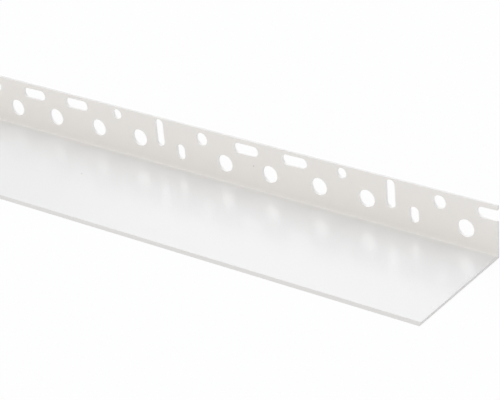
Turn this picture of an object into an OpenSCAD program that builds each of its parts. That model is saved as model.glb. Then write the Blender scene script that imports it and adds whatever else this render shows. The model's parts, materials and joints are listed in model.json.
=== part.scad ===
// Facade starter track: an L-shaped strip of white rigid PVC.
// The perforated leg is fixed to the wall, and the shelf carries the first row of insulation boards.
// X runs along the strip, the wall is at +Y, the shelf reaches out towards -Y, and +Z is up.
// The origin is under the middle of the strip, half way between the wall plane and the front edge.

/* [Strip] */
// Length of the strip, as cut for sale
track_l = 2000; // [400:50:3000]
// Thickness of the PVC, in the leg and in the shelf
wall_t = 1.5; // [1:0.1:2.5]

/* [Section] */
// Depth of the seat, from the leg's front face to the shelf's upper front edge
seat_d = 73; // [43:10:203]
// Height of the leg, from the shelf's underside to its top edge
leg_h = 30; // [27:1:60]
// How far the sharp lower front edge stands out past the upper one
drip_out = 1.4; // [0.4:0.1:2]
// Radius of the inner corner, between the leg and the shelf
corner_r = 1; // [0.3:0.1:3]
// Radius of the outer corner, against the wall
heel_r = 0.5; // [0.2:0.1:0.9]

/* [Punching] */
// Distance from the right-hand end to the nearest large hole
end_margin = 18.2; // [10:0.1:60]
// Step from one hole to the next in a stroke of the punch
hole_step = 14.85; // [14:0.05:20]
// Extra step between the fourth and the fifth hole of a stroke
mid_extra = 2; // [0:0.1:6]
// Step from the tall slot to the short upright slot
short_slot_step = 13.85; // [12:0.05:20]
// Step from the short upright slot to the first hole of the next stroke
stroke_step = 15.35; // [12:0.05:20]
// Angle at which the punch sits askew on the strip, so that each stroke climbs towards the right
punch_tilt = 1.15; // [0:0.05:1.4]
// Height of the lower row above the underside, at the first hole of a stroke
lower_row_z = 12.3; // [10:0.1:14]
// Distance from the leg's top edge down to the upper row, at the first hole of a stroke
upper_row_drop = 6.4; // [6:0.1:8]

/* [Holes] */
// Diameter of the large holes, in the lower row
large_d = 9.8; // [6:0.1:11]
// Diameter of the medium hole, in the upper row
medium_d = 7.4; // [4:0.1:9]
// Diameter of the small hole, in the upper row
small_d = 5.9; // [3:0.1:8]
// Length of the level slots, in the upper row
level_slot_l = 16; // [10:0.1:18]
// Width of the level slots
level_slot_w = 6; // [4:0.1:7]
// Length of the tall slot, which starts level with the upper edges of the level slots
tall_slot_l = 16.2; // [10:0.1:17]
// Width of the tall slot
tall_slot_w = 5.5; // [4:0.1:7]
// Length of the short upright slot that ends a stroke
short_slot_l = 9; // [7:0.1:10]
// Width of the short upright slot
short_slot_w = 5.4; // [4:0.1:6.5]
// Depth of the short upright slot's centre below the lower row
short_slot_drop = 2.6; // [0:0.1:3]

/* [Hidden] */
$fn = 48;
// overshoot of a cutting tool past the face that it cuts
overshoot = 1;
// the shelf's upper surface ends here, and its underside reaches further by drip_out
shelf_d = wall_t + seat_d;
depth = shelf_d + drip_out;
row_gap = leg_h - upper_row_drop - lower_row_z;
// the holes of a stroke, numbered from its left end on
medium_hole = 0;
large_holes = [1, 3, 5, 7];
level_slots = [2, 4];
small_hole = 6;
tall_slot = 8;
// the last hole that comes before the extra step
last_before_extra = 3;
// the short slot ends the stroke, and comes after a step of its own
short_slot_x = hole_x(tall_slot) + short_slot_step;
stroke_l = short_slot_x + stroke_step;
// the right-hand stroke has only its first large hole and what comes before it whole
first_stroke_x = track_l / 2 - end_margin - hole_x(large_holes[0]);
stroke_count = ceil((track_l - end_margin) / stroke_l) + 1;

// distance of a hole from the first hole of its stroke
function hole_x(i) = i * hole_step + (i > last_before_extra ? mid_extra : 0);

// The section's corner arcs are quarter circles, so each is a square with a disc taken out.
module quarter_gusset(r) {
    difference() {
        square(r);
        translate([r, r]) circle(r = r);
    }
}

// The section, with the wall plane on the vertical axis and the underside on the level one
module section() {
    difference() {
        union() {
            // leg
            translate([-wall_t, 0]) square([wall_t, leg_h]);
            // shelf, with a front edge that leans out to a sharp drip edge at the bottom
            polygon([[0, 0], [0, wall_t], [-shelf_d, wall_t], [-depth, 0]]);
            // inner corner
            translate([-wall_t, wall_t]) mirror([1, 0]) quarter_gusset(corner_r);
        }
        // outer corner
        mirror([1, 0]) quarter_gusset(heel_r);
    }
}

// A slot with round ends, lying along the level axis
module slot(l, w) {
    half_run = (l - w) / 2;
    square([2 * half_run, w], center = true);
    for (side = [-1, 1]) translate([side * half_run, 0]) circle(d = w);
}

// One stroke of the punch, from its first hole on, with the lower row on the level axis
module stroke() {
    tall_slot_top = row_gap + level_slot_w / 2;
    translate([hole_x(medium_hole), row_gap]) circle(d = medium_d);
    for (i = large_holes) translate([hole_x(i), 0]) circle(d = large_d);
    for (i = level_slots) translate([hole_x(i), row_gap]) slot(level_slot_l, level_slot_w);
    translate([hole_x(small_hole), row_gap]) circle(d = small_d);
    translate([hole_x(tall_slot), tall_slot_top - tall_slot_l / 2]) rotate(90) slot(tall_slot_l, tall_slot_w);
    translate([short_slot_x, -short_slot_drop]) rotate(90) slot(short_slot_l, short_slot_w);
}

// Every stroke from the right-hand end to the left-hand one, where the last is cut off by the strip's end
module punching() {
    for (k = [0 : stroke_count - 1])
        translate([first_stroke_x - k * stroke_l, lower_row_z]) rotate(punch_tilt) stroke();
}

module starter_track() {
    color([0.94, 0.94, 0.93])
    translate([0, depth / 2, 0])
    difference() {
        rotate([90, 0, 90]) linear_extrude(height = track_l, center = true) section();
        translate([0, overshoot, 0]) rotate([90, 0, 0])
            linear_extrude(height = wall_t + 2 * overshoot) punching();
    }
}

starter_track();
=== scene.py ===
import json
import math

import bmesh
import bpy
from mathutils import Matrix, Vector


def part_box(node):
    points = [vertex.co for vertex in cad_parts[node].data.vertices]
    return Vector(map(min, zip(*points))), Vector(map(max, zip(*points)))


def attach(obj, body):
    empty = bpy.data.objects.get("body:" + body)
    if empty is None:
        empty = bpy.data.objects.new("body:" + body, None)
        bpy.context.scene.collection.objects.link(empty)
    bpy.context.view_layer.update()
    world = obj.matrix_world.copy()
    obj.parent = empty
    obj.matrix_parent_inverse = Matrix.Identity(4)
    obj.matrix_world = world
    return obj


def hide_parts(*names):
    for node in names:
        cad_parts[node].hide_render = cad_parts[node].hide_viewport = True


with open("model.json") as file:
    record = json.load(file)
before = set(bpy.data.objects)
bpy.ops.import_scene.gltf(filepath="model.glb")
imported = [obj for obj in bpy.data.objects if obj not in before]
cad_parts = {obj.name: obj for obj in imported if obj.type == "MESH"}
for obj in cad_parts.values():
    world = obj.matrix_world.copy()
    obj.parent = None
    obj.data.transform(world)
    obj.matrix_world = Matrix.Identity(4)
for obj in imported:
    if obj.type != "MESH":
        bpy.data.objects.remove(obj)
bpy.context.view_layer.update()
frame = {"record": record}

mm = 0.001
stripLow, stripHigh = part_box("starter_track")
stripSize = stripHigh - stripLow
bores = [mount for mount in frame["record"]["mounts"] if mount["kind"] == "bore"]
boreRadius = {mount["name"]: mount["dims"]["r_mm"] * mm for mount in bores}
scene = bpy.context.scene
print("frame loaded, strip", [round(side, 4) for side in stripSize])


def inRadians(values, *keys):
    return [math.radians(values[key]) for key in keys]


# Camera, at the photograph's viewpoint

photoCamera = {
    "place": (1.4412, -0.7339, 0.5007),  # metres
    "azimuth": 37.647,  # degrees that the view turns from +Y towards -X
    "elevation": 27.505,  # degrees that it looks down
    "roll": -3.994,  # degrees
    "lens": 146.015,  # millimetres
    "sensorWidth": 36.0,  # millimetres
    "farthest": 100.0,  # metres
}


def makeCamera(values):
    azimuth, elevation, roll = inRadians(values, "azimuth", "elevation", "roll")
    level = Vector((-math.sin(azimuth), math.cos(azimuth), 0.0))
    forward = level * math.cos(elevation) - Vector((0, 0, math.sin(elevation)))
    levelRight = Vector((math.cos(azimuth), math.sin(azimuth), 0.0))
    levelUp = levelRight.cross(forward)
    right = levelRight * math.cos(roll) + levelUp * math.sin(roll)
    up = levelUp * math.cos(roll) - levelRight * math.sin(roll)
    data = bpy.data.cameras.new("photoCamera")
    data.lens = values["lens"]
    data.sensor_width = values["sensorWidth"]
    data.clip_end = values["farthest"]
    camera = bpy.data.objects.new("photoCamera", data)
    turned = Matrix((right, up, -forward)).transposed().to_4x4()
    camera.matrix_world = Matrix.Translation(values["place"]) @ turned
    scene.collection.objects.link(camera)
    scene.camera = camera


makeCamera(photoCamera)
print("camera placed")


# Materials: patterns are sized in repeats for each metre, and depths are in metres

class Finish:
    # a material with its Principled shader, and short ways to add nodes to it
    def __init__(self, name, refraction):
        self.material = bpy.data.materials.new(name)
        self.material.use_nodes = True
        self.tree = self.material.node_tree
        self.tree.nodes.clear()
        self.shader = self.add("ShaderNodeBsdfPrincipled")
        self.shader.inputs["IOR"].default_value = refraction
        output = self.add("ShaderNodeOutputMaterial")
        self.join(self.shader.outputs["BSDF"], output.inputs["Surface"])
        self.place = self.add("ShaderNodeTexCoord").outputs["Object"]

    def add(self, kind, **settings):
        node = self.tree.nodes.new(kind)
        for key, value in settings.items():
            setattr(node, key, value)
        return node

    def join(self, start, end):
        self.tree.links.new(start, end)

    def put(self, socket, value):
        # a socket takes a number or another node's output
        if isinstance(value, bpy.types.NodeSocket):
            self.join(value, socket)
        else:
            socket.default_value = value

    def coordinate(self, axis):
        node = self.add("ShaderNodeSeparateXYZ")
        self.join(self.place, node.inputs[0])
        return node.outputs[axis]

    def stretched(self, scale, turn=(0.0, 0.0, 0.0)):
        node = self.add("ShaderNodeMapping")
        self.join(self.place, node.inputs["Vector"])
        node.inputs["Scale"].default_value = scale
        node.inputs["Rotation"].default_value = turn
        return node.outputs["Vector"]

    def noise(self, vector, scale=1.0, detail=3.0, roughness=0.5):
        node = self.add("ShaderNodeTexNoise")
        self.join(vector, node.inputs["Vector"])
        node.inputs["Scale"].default_value = scale
        node.inputs["Detail"].default_value = detail
        node.inputs["Roughness"].default_value = roughness
        return node.outputs["Fac"]

    def distance(self, vector, place):
        node = self.add("ShaderNodeVectorMath", operation="DISTANCE")
        self.join(vector, node.inputs[0])
        node.inputs[1].default_value = place
        return node.outputs["Value"]

    def spread(self, value, low, high, fromLow=0.0, fromHigh=1.0):
        node = self.add("ShaderNodeMapRange")
        self.put(node.inputs["Value"], value)
        node.inputs["From Min"].default_value = fromLow
        node.inputs["From Max"].default_value = fromHigh
        node.inputs["To Min"].default_value = low
        node.inputs["To Max"].default_value = high
        return node.outputs["Result"]

    def maths(self, operation, first, second):
        node = self.add("ShaderNodeMath", operation=operation)
        self.put(node.inputs[0], first)
        self.put(node.inputs[1], second)
        return node.outputs["Value"]

    def product(self, factors):
        total = factors[0]
        for factor in factors[1:]:
            total = self.maths("MULTIPLY", total, factor)
        return total

    def bump(self, height, depth, below=None):
        node = self.add("ShaderNodeBump")
        node.inputs["Distance"].default_value = depth
        self.put(node.inputs["Height"], height)
        if below is not None:
            self.join(below, node.inputs["Normal"])
        return node.outputs["Normal"]

    def dress(self, colour, tone, roughness, relief):
        # a fixed colour, made lighter or darker by the tone, with its roughness and relief
        toned = self.add("ShaderNodeVectorMath", operation="SCALE")
        toned.inputs[0].default_value = colour
        self.put(toned.inputs["Scale"], tone)
        self.join(toned.outputs["Vector"], self.shader.inputs["Base Color"])
        self.join(roughness, self.shader.inputs["Roughness"])
        self.join(relief, self.shader.inputs["Normal"])
        return self.material


pvcValues = {
    "colour": (0.865, 0.852, 0.836),  # faintly warm white
    "roughness": 0.23,
    "refraction": 1.54,
    "clouds": 14.0,  # soft patches
    "cloudTone": (0.988, 1.012),
    "cloudSheen": (-0.02, 0.02),  # added to the roughness
    "dieLines": (2.5, 620.0, 620.0),  # fine lines that run along the strip
    "dieLineTone": (0.998, 1.002),
    "dieLineSheen": (-0.01, 0.01),
    "dieLineDepth": 0.0000006,
    "grain": 2600.0,
    "grainDepth": 0.000002,
    "waves": (9.0, 22.0, 22.0),  # slow unevenness
    "waveDepth": 0.00004,
    "lipPaintedShade": 0.885,  # painted shade: the sharp front lip is made darker than the rest
    "lipBlend": 0.2 * mm,
    "cornerPaintedLight": 1.043,  # painted light: the inner corner is made lighter than the rest
    "cornerLightReach": (0.4 * mm, 2.5 * mm),  # from where that painted light fades, and where it ends
    "specks": {"onLeg": (0.85096, 0.03645, 0.01564), "onShelf": (0.75507, 0.00521, 0.0015)},
    "speckTone": 0.55,
    "speckReach": (0.15 * mm, 0.5 * mm),
}


def makeSatinPvc(values):
    finish = Finish("satinPvc", values["refraction"])
    clouds = finish.noise(finish.place, scale=values["clouds"], detail=3.0)
    dieLines = finish.noise(finish.stretched(values["dieLines"]), detail=2.0)
    grain = finish.noise(finish.place, scale=values["grain"], detail=2.0)
    waves = finish.noise(finish.stretched(values["waves"]), detail=1.0)

    acrossStrip = finish.coordinate("Y")
    lipFoot = stripLow.y + stripValues["dripOut"]
    blend = values["lipBlend"]
    wall = stripValues["wall"]
    placeInSection = finish.stretched((0.0, 1.0, 1.0))
    cornerAway = finish.distance(placeInSection, (0.0, stripHigh.y - wall, wall))
    tones = [
        finish.spread(clouds, *values["cloudTone"]),
        finish.spread(dieLines, *values["dieLineTone"]),
        # painted shade on the front lip
        finish.spread(acrossStrip, values["lipPaintedShade"], 1.0, lipFoot - blend, lipFoot + blend),
        # painted light in the inner corner
        finish.spread(cornerAway, values["cornerPaintedLight"], 1.0, *values["cornerLightReach"]),
    ]
    for speckPlace in values["specks"].values():
        speckAway = finish.distance(finish.place, speckPlace)
        tones.append(finish.spread(speckAway, values["speckTone"], 1.0, *values["speckReach"]))

    lineSheen = finish.spread(dieLines, *values["dieLineSheen"])
    cloudSheen = finish.spread(clouds, *values["cloudSheen"])
    sheen = finish.maths("ADD", lineSheen, cloudSheen)
    roughness = finish.maths("ADD", sheen, values["roughness"])
    relief = finish.bump(waves, values["waveDepth"])
    relief = finish.bump(dieLines, values["dieLineDepth"], relief)
    relief = finish.bump(grain, values["grainDepth"], relief)
    return finish.dress(values["colour"], finish.product(tones), roughness, relief)


punchedValues = {
    # painted light: the punched walls are coloured lighter than the strip's own PVC
    "colour": (0.95, 0.937, 0.922),
    "burnished": 0.2,  # roughness where the punch slid in
    "torn": 0.5,  # roughness where the slug broke out
    "burnishedShare": 0.6,  # of the wall's thickness
    "blendShare": 0.1,
    "streaks": (900.0, 90.0, 900.0),  # they run through the wall
    "streakTone": (0.97, 1.02),
    "streakDepth": 0.00002,
}


def makePunchedEdge(values, frontFace, wall):
    finish = Finish("punchedEdge", pvcValues["refraction"])
    middle = frontFace + wall * values["burnishedShare"]
    blend = wall * values["blendShare"]
    torn = finish.spread(finish.coordinate("Y"), 0.0, 1.0, middle - blend, middle + blend)
    streaks = finish.noise(finish.stretched(values["streaks"]), detail=3.0)
    tone = finish.spread(streaks, *values["streakTone"])
    roughness = finish.spread(torn, values["burnished"], values["torn"])
    relief = finish.bump(finish.product([streaks, torn]), values["streakDepth"])
    return finish.dress(values["colour"], tone, roughness, relief)


sawnValues = {
    "colour": (0.842, 0.82, 0.795),
    "roughness": (0.52, 0.7),
    "marks": (40.0, 1500.0, 60.0),  # of the saw
    "markTurn": 0.5,  # radians by which they lean
    "markTone": (0.95, 1.04),
    "markDepth": 0.00003,
    "dust": 900.0,
    "dustTone": (0.97, 1.03),
}


def makeSawnEnd(values):
    finish = Finish("sawnEnd", pvcValues["refraction"])
    leaning = finish.stretched(values["marks"], (values["markTurn"], 0.0, 0.0))
    marks = finish.noise(leaning, detail=2.0, roughness=0.6)
    dust = finish.noise(finish.place, scale=values["dust"], detail=4.0)
    tones = [finish.spread(marks, *values["markTone"]), finish.spread(dust, *values["dustTone"])]
    roughness = finish.spread(marks, *values["roughness"])
    relief = finish.bump(marks, values["markDepth"])
    return finish.dress(values["colour"], finish.product(tones), roughness, relief)


# The strip: one extruded section, punched stroke by stroke

stripValues = {
    "wall": 1.5 * mm,
    "dripOut": 1.4 * mm,  # how far the lower front edge stands out past the upper one
    "cornerRadius": 1.0 * mm,
    "heelRadius": 0.5 * mm,
    "topRadius": 0.45 * mm,  # rounding of the leg's top edges
    "arcSteps": 6,
    "endMargin": 18.2 * mm,
    "holeStep": 14.85 * mm,
    "midExtra": 2.0 * mm,  # added to the step in the middle of a stroke
    "lastBeforeMiddle": 3,
    "shortSlotStep": 13.85 * mm,
    "strokeStep": 15.35 * mm,
    "punchTilt": 1.15,  # degrees
    "lowerRow": 12.3 * mm,
    "upperRowDrop": 6.4 * mm,
    "levelSlot": (16.0 * mm, 6.0 * mm),
    "tallSlot": (5.5 * mm, 16.2 * mm),
    "shortSlot": (5.4 * mm, 9.0 * mm),
    "shortSlotDrop": 2.6 * mm,
    # the cuts' numbers in a stroke, a step apart: even ones lie in the upper row, odd ones in the
    # lower row, and the short slot follows the last
    "cuts": {"medium": [0], "large": [1, 3, 5, 7], "level": [2, 4], "small": [6], "tall": [8]},
    "roundSides": 64,
    "slotEndSides": 20,
    "rimSoftness": 0.14 * mm,  # rounding of the punched and sawn edges
    "rimSegments": 2,
    "rimAngle": 35.0,  # degrees, past which an edge is rounded
}


def sectionOutline(values):
    # the section's corners in the YZ plane, anticlockwise seen from +X
    wallPlane, frontEdge = stripHigh.y, stripLow.y
    wall, corner, heel, top = (
        values[key] for key in ("wall", "cornerRadius", "heelRadius", "topRadius")
    )

    def arc(centreY, centreZ, radius, startTurn):
        points = []
        for step in range(values["arcSteps"] + 1):
            turn = math.radians(startTurn + 90.0 * step / values["arcSteps"])
            points.append((centreY + radius * math.cos(turn), centreZ + radius * math.sin(turn)))
        return points

    heelArc = arc(wallPlane - heel, heel, heel, -90.0)
    innerArc = arc(wallPlane - wall - corner, wall + corner, corner, -90.0)
    rearTopArc = arc(wallPlane - top, stripHigh.z - top, top, 0.0)
    frontTopArc = arc(wallPlane - wall + top, stripHigh.z - top, top, 90.0)
    return (
        [(frontEdge, 0.0)]
        + heelArc
        + rearTopArc
        + frontTopArc
        + innerArc[::-1]
        + [(frontEdge + values["dripOut"], wall)]
    )


def makeSectionFace(values, material):
    mesh = bpy.data.meshes.new("trackStrip")
    mesh.materials.append(material)
    work = bmesh.new()
    corners = [work.verts.new((stripLow.x, y, z)) for y, z in sectionOutline(values)]
    work.faces.new(corners)
    work.to_mesh(mesh)
    work.free()
    strip = bpy.data.objects.new("trackStrip", mesh)
    scene.collection.objects.link(strip)
    return strip


class Tree:
    # a geometry node tree with named inputs, and short ways to add nodes to it
    def __init__(self, name):
        self.group = bpy.data.node_groups.new(name, "GeometryNodeTree")
        self.addSocket("Geometry", "INPUT", "NodeSocketGeometry")
        self.addSocket("Geometry", "OUTPUT", "NodeSocketGeometry")
        self.start = self.add("NodeGroupInput")
        self.values = {}

    def addSocket(self, name, side, kind):
        return self.group.interface.new_socket(name=name, in_out=side, socket_type=kind)

    def size(self, name, value, kind="NodeSocketFloat"):
        # a named input, with the value that the modifier gives it
        socket = self.addSocket(name, "INPUT", kind)
        self.values[socket.identifier] = value
        return self.start.outputs[name]

    def add(self, kind, **settings):
        node = self.group.nodes.new(kind)
        for key, value in settings.items():
            setattr(node, key, value)
        return node

    def feed(self, socket, value):
        if isinstance(value, bpy.types.NodeSocket):
            self.group.links.new(value, socket)
        else:
            socket.default_value = value

    def maths(self, operation, first, second=0.0):
        node = self.add("ShaderNodeMath", operation=operation)
        self.feed(node.inputs[0], first)
        self.feed(node.inputs[1], second)
        return node.outputs[0]

    def vector(self, x=0.0, y=0.0, z=0.0):
        node = self.add("ShaderNodeCombineXYZ")
        for socket, value in zip(node.inputs, (x, y, z)):
            self.feed(socket, value)
        return node.outputs[0]

    def moved(self, geometry, move=None, turn=None):
        node = self.add("GeometryNodeTransform")
        self.feed(node.inputs["Geometry"], geometry)
        if move is not None:
            self.feed(node.inputs["Translation"], move)
        if turn is not None:
            self.feed(node.inputs["Rotation"], turn)
        return node.outputs["Geometry"]

    def together(self, *parts):
        node = self.add("GeometryNodeJoinGeometry")
        for part in parts:
            self.group.links.new(part, node.inputs[0])
        return node.outputs[0]

    def placed(self, points, instance):
        node = self.add("GeometryNodeInstanceOnPoints")
        self.feed(node.inputs["Points"], points)
        self.feed(node.inputs["Instance"], instance)
        return node

    def realized(self, geometry):
        node = self.add("GeometryNodeRealizeInstances")
        self.feed(node.inputs["Geometry"], geometry)
        return node.outputs["Geometry"]

    def extruded(self, face, offset):
        # a closed prism from one flat face: the face's pushed-out copy, its sides, and the face
        # itself, turned round
        push = self.add("GeometryNodeExtrudeMesh", mode="FACES")
        self.feed(push.inputs["Mesh"], face)
        self.feed(push.inputs["Offset"], offset)
        self.feed(push.inputs["Offset Scale"], 1.0)
        push.inputs["Individual"].default_value = False
        turned = self.add("GeometryNodeFlipFaces")
        self.feed(turned.inputs["Mesh"], face)
        weld = self.add("GeometryNodeMergeByDistance")
        shell = self.together(push.outputs["Mesh"], turned.outputs["Mesh"])
        self.feed(weld.inputs["Geometry"], shell)
        weld.inputs["Distance"].default_value = 0.001 * mm
        return weld.outputs["Geometry"]

    def coated(self, geometry, material, selection=True):
        node = self.add("GeometryNodeSetMaterial")
        self.feed(node.inputs["Geometry"], geometry)
        self.feed(node.inputs["Selection"], selection)
        node.inputs["Material"].default_value = material
        return node.outputs["Geometry"]

    def finish(self, geometry):
        end = self.add("NodeGroupOutput")
        self.feed(end.inputs[0], geometry)


def addSizes(tree, values):
    # the tree's named inputs, and what the modifier gives them
    numbers = {
        "Strip Length": stripSize.x,
        "Leg Height": stripSize.z,
        "Wall": values["wall"],
        "End Margin": values["endMargin"],
        "Hole Step": values["holeStep"],
        "Mid Extra": values["midExtra"],
        "Short Slot Step": values["shortSlotStep"],
        "Stroke Step": values["strokeStep"],
        "Punch Tilt": math.radians(values["punchTilt"]),
        "Lower Row": values["lowerRow"],
        "Upper Row Drop": values["upperRowDrop"],
        "Short Slot Drop": values["shortSlotDrop"],
        "Large Radius": boreRadius["large_hole_1"],
        "Medium Radius": boreRadius["medium_hole"],
        "Small Radius": boreRadius["small_hole"],
    }
    for name in ("level", "tall", "short"):
        title = name.capitalize() + " Slot"
        numbers[title + " Width"], numbers[title + " Height"] = values[name + "Slot"]
    sizes = {name: tree.size(name, value) for name, value in numbers.items()}
    sizes["Round Sides"] = tree.size("Round Sides", values["roundSides"], "NodeSocketInt")
    sizes["Slot End Sides"] = tree.size("Slot End Sides", values["slotEndSides"], "NodeSocketInt")
    return sizes


quarterTurn = (math.radians(90.0), 0.0, 0.0)  # from lying in the XY plane to lying in the leg


def roundPunch(tree, sizes, name, depth):
    drum = tree.add("GeometryNodeMeshCylinder", fill_type="NGON")
    tree.feed(drum.inputs["Vertices"], sizes["Round Sides"])
    tree.feed(drum.inputs["Radius"], sizes[name + " Radius"])
    tree.feed(drum.inputs["Depth"], depth)
    return tree.moved(drum.outputs["Mesh"], turn=quarterTurn)


def slotPunch(tree, sizes, name, depth):
    width, height = sizes[name + " Slot Width"], sizes[name + " Slot Height"]
    outline = tree.add("GeometryNodeCurvePrimitiveQuadrilateral", mode="RECTANGLE")
    tree.feed(outline.inputs["Width"], width)
    tree.feed(outline.inputs["Height"], height)
    # the ends' radius is a hair under half the slot, so that no edge is lost
    endRadius = tree.maths("MULTIPLY", tree.maths("MINIMUM", width, height), 0.4999)
    rounded = tree.add("GeometryNodeFilletCurve", mode="POLY")
    tree.feed(rounded.inputs["Curve"], outline.outputs["Curve"])
    tree.feed(rounded.inputs["Count"], sizes["Slot End Sides"])
    tree.feed(rounded.inputs["Radius"], endRadius)
    face = tree.add("GeometryNodeFillCurve", mode="NGONS")
    tree.feed(face.inputs["Curve"], rounded.outputs["Curve"])
    block = tree.extruded(face.outputs["Mesh"], tree.vector(z=depth))
    centred = tree.moved(block, move=tree.vector(z=tree.maths("MULTIPLY", depth, -0.5)))
    return tree.moved(centred, turn=quarterTurn)


def isOneOf(tree, number, chosen):
    found = tree.maths("COMPARE", number, float(chosen[0]))
    for other in chosen[1:]:
        found = tree.maths("MAXIMUM", found, tree.maths("COMPARE", number, float(other)))
    return found


def makeStroke(tree, sizes, values):
    # one stroke and its length, with its lower row on the level axis and its first hole at x = 0
    cuts = values["cuts"]
    lastNumber = max(number for numbers in cuts.values() for number in numbers)
    number = tree.add("GeometryNodeInputIndex").outputs[0]
    pastMiddle = tree.maths("GREATER_THAN", number, values["lastBeforeMiddle"] + 0.5)
    extra = tree.maths("MULTIPLY", pastMiddle, sizes["Mid Extra"])
    cutX = tree.maths("ADD", tree.maths("MULTIPLY", number, sizes["Hole Step"]), extra)

    upperRow = tree.maths("SUBTRACT", sizes["Leg Height"], sizes["Upper Row Drop"])
    rowGap = tree.maths("SUBTRACT", upperRow, sizes["Lower Row"])
    # the tall slot starts level with the level slots' upper edges
    longer = tree.maths("SUBTRACT", sizes["Level Slot Height"], sizes["Tall Slot Height"])
    tallRise = tree.maths("MULTIPLY", longer, 0.5)
    isTall = isOneOf(tree, number, cuts["tall"])
    upperZ = tree.maths("ADD", rowGap, tree.maths("MULTIPLY", isTall, tallRise))
    isUpper = tree.maths("SUBTRACT", 1.0, tree.maths("MODULO", number, 2.0))
    cutZ = tree.maths("MULTIPLY", upperZ, isUpper)
    marks = tree.add("GeometryNodePoints")
    marks.inputs["Count"].default_value = lastNumber + 1
    tree.feed(marks.inputs["Position"], tree.vector(cutX, 0.0, cutZ))

    depth = tree.maths("MULTIPLY", sizes["Wall"], 3.0)
    punches = {
        "medium": roundPunch(tree, sizes, "Medium", depth),
        "large": roundPunch(tree, sizes, "Large", depth),
        "level": slotPunch(tree, sizes, "Level", depth),
        "small": roundPunch(tree, sizes, "Small", depth),
        "tall": slotPunch(tree, sizes, "Tall", depth),
    }
    parts = []
    for name, punch in punches.items():
        node = tree.placed(marks.outputs[0], punch)
        tree.feed(node.inputs["Selection"], isOneOf(tree, number, cuts[name]))
        parts.append(node.outputs["Instances"])

    steps = tree.maths("MULTIPLY", sizes["Hole Step"], float(lastNumber))
    shortX = tree.maths("ADD", tree.maths("ADD", steps, sizes["Mid Extra"]), sizes["Short Slot Step"])
    shortZ = tree.maths("MULTIPLY", sizes["Short Slot Drop"], -1.0)
    shortPunch = slotPunch(tree, sizes, "Short", depth)
    parts.append(tree.moved(shortPunch, move=tree.vector(shortX, 0.0, shortZ)))
    return tree.together(*parts), tree.maths("ADD", shortX, sizes["Stroke Step"])


def repeatStroke(tree, sizes, stroke, strokeLength):
    # the strokes, from the right-hand end to past the left-hand one
    lastCutX = tree.maths("SUBTRACT", stripHigh.x, sizes["End Margin"])
    firstX = tree.maths("SUBTRACT", lastCutX, sizes["Hole Step"])
    strokesAlong = tree.maths("DIVIDE", sizes["Strip Length"], strokeLength)
    legMiddle = tree.maths("SUBTRACT", stripHigh.y, tree.maths("MULTIPLY", sizes["Wall"], 0.5))
    row = tree.add("GeometryNodeMeshLine", mode="OFFSET")
    tree.feed(row.inputs["Count"], tree.maths("ADD", tree.maths("CEIL", strokesAlong), 1.0))
    tree.feed(row.inputs["Start Location"], tree.vector(firstX, legMiddle, sizes["Lower Row"]))
    tree.feed(row.inputs["Offset"], tree.vector(tree.maths("MULTIPLY", strokeLength, -1.0)))
    strokes = tree.placed(row.outputs["Mesh"], stroke)
    tilt = tree.maths("MULTIPLY", sizes["Punch Tilt"], -1.0)
    tree.feed(strokes.inputs["Rotation"], tree.vector(0.0, tilt, 0.0))
    return tree.realized(strokes.outputs["Instances"])


def makeBlank(tree, sizes, pvc, sawn):
    # the strip before it is punched: the sawn ends are the prism's two end faces
    section = tree.start.outputs["Geometry"]
    blank = tree.coated(tree.extruded(section, tree.vector(sizes["Strip Length"])), pvc)
    facing = tree.add("ShaderNodeSeparateXYZ")
    tree.feed(facing.inputs[0], tree.add("GeometryNodeInputNormal").outputs[0])
    isEnd = tree.maths("GREATER_THAN", tree.maths("ABSOLUTE", facing.outputs["X"]), 0.9)
    return tree.coated(blank, sawn, isEnd)


def makePunchedStripTree(values, pvc, punched, sawn):
    tree = Tree("punchedStrip")
    sizes = addSizes(tree, values)
    stroke, strokeLength = makeStroke(tree, sizes, values)
    punches = tree.coated(repeatStroke(tree, sizes, stroke, strokeLength), punched)
    cut = tree.add("GeometryNodeMeshBoolean", operation="DIFFERENCE", solver="EXACT")
    tree.feed(cut.inputs["Mesh 1"], makeBlank(tree, sizes, pvc, sawn))
    tree.feed(cut.inputs["Mesh 2"], punches)
    solid = tree.realized(cut.outputs["Mesh"])
    isPvc = tree.add("GeometryNodeMaterialSelection")
    isPvc.inputs["Material"].default_value = pvc
    tree.finish(tree.coated(solid, pvc, isPvc.outputs["Selection"]))
    return tree


def bake(piece, modifier):
    # keeps the piece as the modifier makes it, as a plain mesh, and takes the modifier off
    depsgraph = bpy.context.evaluated_depsgraph_get()
    made = bpy.data.meshes.new_from_object(piece.evaluated_get(depsgraph), depsgraph=depsgraph)
    piece.modifiers.remove(modifier)
    piece.data = made


def runTree(piece, tree):
    maker = piece.modifiers.new(tree.group.name, "NODES")
    maker.node_group = tree.group
    for identifier, value in tree.values.items():
        maker[identifier] = value
    bake(piece, maker)


def softenRims(piece, values):
    piece.data.shade_smooth()
    rims = piece.modifiers.new("softRims", "BEVEL")
    rims.width = values["rimSoftness"]
    rims.segments = values["rimSegments"]
    rims.limit_method = "ANGLE"
    rims.angle_limit = math.radians(values["rimAngle"])
    rims.use_clamp_overlap = True
    rims.harden_normals = True
    bake(piece, rims)
    # the large flat faces keep their own shading right up to the narrow curved ones beside them
    level = piece.modifiers.new("levelShading", "WEIGHTED_NORMAL")
    level.mode = "FACE_AREA"
    bake(piece, level)


def makeStrip(values):
    pvc = makeSatinPvc(pvcValues)
    punched = makePunchedEdge(punchedValues, stripHigh.y - values["wall"], values["wall"])
    sawn = makeSawnEnd(sawnValues)
    strip = makeSectionFace(values, pvc)
    runTree(strip, makePunchedStripTree(values, pvc, punched, sawn))
    print("strip punched:", len(strip.data.polygons), "faces")
    softenRims(strip, values)
    finishes = [material.name for material in strip.data.materials]
    print("rims softened:", len(strip.data.polygons), "faces,", finishes)
    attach(strip, "root")
    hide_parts("starter_track")


makeStrip(stripValues)


# Floor and light

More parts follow.
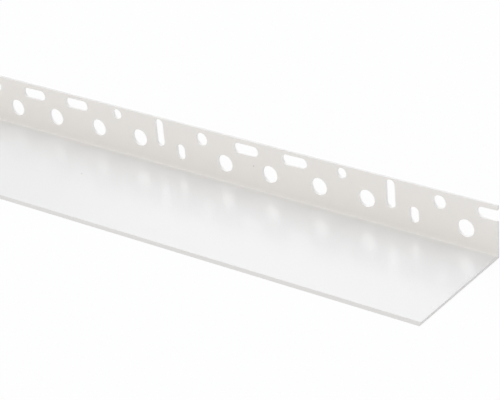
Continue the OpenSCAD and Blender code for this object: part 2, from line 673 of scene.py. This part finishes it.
studioValues = {
    "floorSize": 240.0,  # metres
    "floorColour": (0.93, 0.93, 0.93),
    "floorFade": 0.92,  # how much of the floor's shade the camera doesn't see
    "ambientColour": (0.945, 0.951, 1.0),
    "ambientStrength": 0.146,
    # soft glows in the surrounding light: azimuth turns from +Y towards -X, and each glow is full
    # out to its inner angle and gone at its outer one, all in degrees
    "glows": {
        "frontGlow": {
            "azimuth": 180.0,
            "elevation": 20.0,
            "inner": 15.0,
            "outer": 50.0,
            "colour": (1.0, 0.934, 0.829),
            "brightness": 1.222,
        },
        "leftGlow": {
            "azimuth": 90.0,
            "elevation": 50.0,
            "inner": 15.0,
            "outer": 50.0,
            "colour": (0.851, 0.913, 1.0),
            "brightness": 1.106,
        },
        "rightGlow": {
            "azimuth": -90.0,
            "elevation": 30.0,
            "inner": 15.0,
            "outer": 50.0,
            "colour": (0.927, 0.958, 1.0),
            "brightness": 0.872,
        },
    },
    "aim": (0.85, 0.0, 0.0),  # the near end of the strip
    # soft panels behind: place and size in metres, and how bright each looks, where 1 is white
    "panels": {
        "rearPanel": {
            "place": (-4.107, 11.68, 5.917),
            "size": (8.8, 8.4),
            "colour": (1.0, 0.983, 0.95),
            "brightness": 0.79,
        },
        "highRearPanel": {
            "place": (-2.447, 7.07, 11.14),
            "size": (20.0, 7.2),
            "colour": (0.965, 0.98, 1.0),
            "brightness": 1.47,
        },
    },
}


def larger(nodes, links, first, second):
    node = nodes.new("ShaderNodeMath")
    node.operation = "MAXIMUM"
    links.new(first, node.inputs[0])
    links.new(second, node.inputs[1])
    return node.outputs[0]


def seenByEye(nodes, links):
    # 1 for the camera's own rays, and for those seen in gloss or through glass
    path = nodes.new("ShaderNodeLightPath")
    direct = larger(nodes, links, path.outputs["Is Camera Ray"], path.outputs["Is Glossy Ray"])
    return larger(nodes, links, direct, path.outputs["Is Transmission Ray"])


def makeGlows(values, nodes, links):
    # the light from all round, with each soft glow added to it
    def vectorMaths(operation):
        node = nodes.new("ShaderNodeVectorMath")
        node.operation = operation
        return node

    direction = nodes.new("ShaderNodeTexCoord").outputs["Generated"]
    ambient = vectorMaths("SCALE")
    ambient.inputs[0].default_value = values["ambientColour"]
    ambient.inputs["Scale"].default_value = values["ambientStrength"]
    total = ambient.outputs["Vector"]
    for glowValues in values["glows"].values():
        turn, rise, inner, outer = inRadians(glowValues, "azimuth", "elevation", "inner", "outer")
        toward = vectorMaths("DOT_PRODUCT")
        links.new(direction, toward.inputs[0])
        toward.inputs[1].default_value = (
            -math.sin(turn) * math.cos(rise),
            math.cos(turn) * math.cos(rise),
            math.sin(rise),
        )
        share = nodes.new("ShaderNodeMapRange")
        share.interpolation_type = "SMOOTHSTEP"
        links.new(toward.outputs["Value"], share.inputs["Value"])
        share.inputs["From Min"].default_value = math.cos(outer)
        share.inputs["From Max"].default_value = math.cos(inner)
        brightness = glowValues["brightness"]
        glow = vectorMaths("SCALE")
        glow.inputs[0].default_value = [part * brightness for part in glowValues["colour"]]
        links.new(share.outputs["Result"], glow.inputs["Scale"])
        added = vectorMaths("ADD")
        links.new(total, added.inputs[0])
        links.new(glow.outputs["Vector"], added.inputs[1])
        total = added.outputs["Vector"]
    return total


def makeWorld(values):
    world = bpy.data.worlds.new("whiteStudio")
    scene.world = world
    world.use_nodes = True
    nodes, links = world.node_tree.nodes, world.node_tree.links
    nodes.clear()
    surrounding = nodes.new("ShaderNodeBackground")
    links.new(makeGlows(values, nodes, links), surrounding.inputs["Color"])
    white = nodes.new("ShaderNodeBackground")
    white.inputs["Color"].default_value = (1.0, 1.0, 1.0, 1.0)
    white.inputs["Strength"].default_value = 1.0
    choice = nodes.new("ShaderNodeMixShader")
    links.new(seenByEye(nodes, links), choice.inputs["Fac"])
    links.new(surrounding.outputs[0], choice.inputs[1])
    links.new(white.outputs[0], choice.inputs[2])
    output = nodes.new("ShaderNodeOutputWorld")
    links.new(choice.outputs[0], output.inputs["Surface"])


def makePaper(values):
    # matt paper, of which the eye sees only a faint shade and the rest as plain white
    material = bpy.data.materials.new("studioPaper")
    material.use_nodes = True
    nodes, links = material.node_tree.nodes, material.node_tree.links
    nodes.clear()
    paper = nodes.new("ShaderNodeBsdfDiffuse")
    paper.inputs["Color"].default_value = (*values["floorColour"], 1.0)
    white = nodes.new("ShaderNodeEmission")
    white.inputs["Strength"].default_value = 1.0
    share = nodes.new("ShaderNodeMath")
    share.operation = "MULTIPLY"
    share.inputs[1].default_value = values["floorFade"]
    links.new(seenByEye(nodes, links), share.inputs[0])
    mix = nodes.new("ShaderNodeMixShader")
    links.new(share.outputs[0], mix.inputs["Fac"])
    links.new(paper.outputs[0], mix.inputs[1])
    links.new(white.outputs[0], mix.inputs[2])
    output = nodes.new("ShaderNodeOutputMaterial")
    links.new(mix.outputs[0], output.inputs["Surface"])
    return material


def makeFloor(values):
    half = values["floorSize"] / 2
    corners = [(-half, -half, 0), (half, -half, 0), (half, half, 0), (-half, half, 0)]
    mesh = bpy.data.meshes.new("studioFloor")
    mesh.from_pydata(corners, [], [(0, 1, 2, 3)])
    mesh.materials.append(makePaper(values))
    floor = bpy.data.objects.new("studioFloor", mesh)
    scene.collection.objects.link(floor)


def makePanels(values):
    for name, panelValues in values["panels"].items():
        width, height = panelValues["size"]
        light = bpy.data.lights.new(name, "AREA")
        light.shape = "RECTANGLE"
        light.size, light.size_y = width, height
        light.color = panelValues["colour"]
        light.energy = panelValues["brightness"] * math.pi * width * height
        panel = bpy.data.objects.new(name, light)
        place = Vector(panelValues["place"])
        aim = Vector(values["aim"]) - place
        turned = aim.to_track_quat("-Z", "Y").to_matrix().to_4x4()
        panel.matrix_world = Matrix.Translation(place) @ turned
        panel.visible_camera = False
        scene.collection.objects.link(panel)


scene.view_settings.view_transform = "Standard"
makeWorld(studioValues)
makeFloor(studioValues)
makePanels(studioValues)
print("floor and light set")
